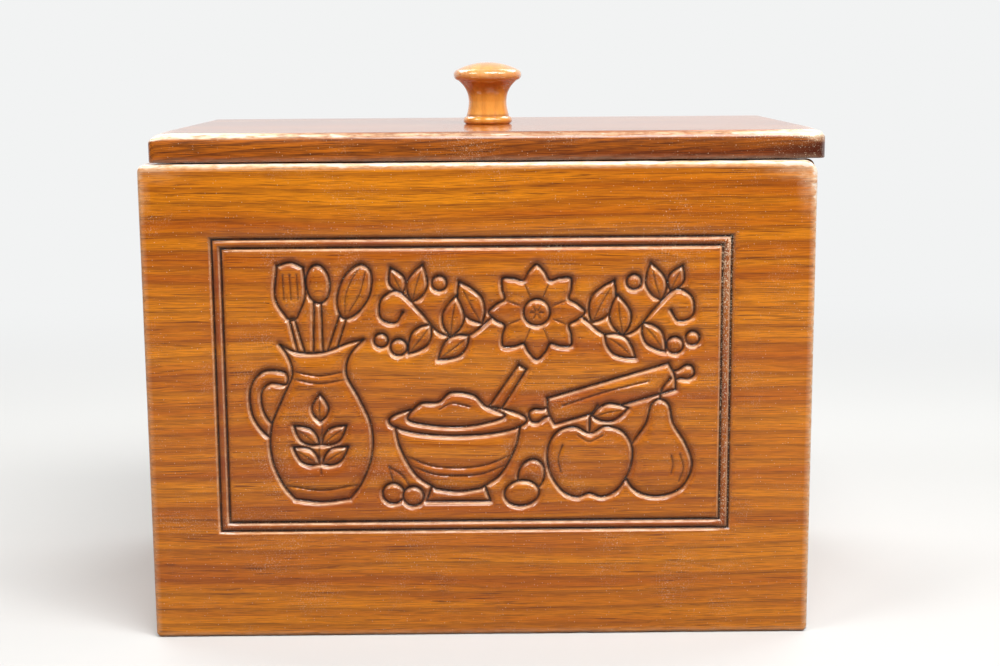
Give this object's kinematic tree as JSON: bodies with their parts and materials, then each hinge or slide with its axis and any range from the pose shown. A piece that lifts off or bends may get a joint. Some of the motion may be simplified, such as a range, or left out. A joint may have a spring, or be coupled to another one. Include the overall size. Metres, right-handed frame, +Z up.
{
  "type": "recipe card box",
  "caption": "Wooden recipe card box with a carved front panel, a lid on brass butt hinges at the back and a turned knob.",
  "frame": {"origin": "underside of the box, at the middle of its width and of its depth from front face to back face", "axes": "+X to the right as the carved front is seen, +Y from the front to the hinges at the back, +Z up"},
  "size_m": [0.1541, 0.0923, 0.1319],
  "materials": {
    "front_wood": "stained and lacquered pine, carved",
    "box_wood": "stained and lacquered pine",
    "lid_wood": "stained and lacquered pine, worn edges",
    "knob_wood": "turned, gloss lacquer",
    "brass": "satin, slightly tarnished",
    "steel": "plain wire"
  },
  "bodies": {
    "box": {"front_board": "front_wood", "back_board": "box_wood", "left_side": "box_wood", "right_side": "box_wood", "bottom_board": "box_wood", "front_brads": "steel", "back_brads": "steel", "bottom_brads": "steel", "left_hinge_box_leaf": "brass", "right_hinge_box_leaf": "brass", "left_hinge_pin": "brass", "right_hinge_pin": "brass", "left_hinge_box_screws": "brass", "right_hinge_box_screws": "brass"},
    "lid": {"lid_board": "lid_wood", "lid_knob": "knob_wood", "knob_screw": "steel", "left_hinge_lid_leaf": "brass", "right_hinge_lid_leaf": "brass", "left_hinge_lid_screws": "brass", "right_hinge_lid_screws": "brass"}
  },
  "joints": [
    {"name": "lid_hinge", "type": "hinge", "parent": "box", "child": "lid", "pos_m": [0, 0.04622, 0.11017], "axis": [-1, 0, 0], "range_deg": [0, 205]}
  ]
}
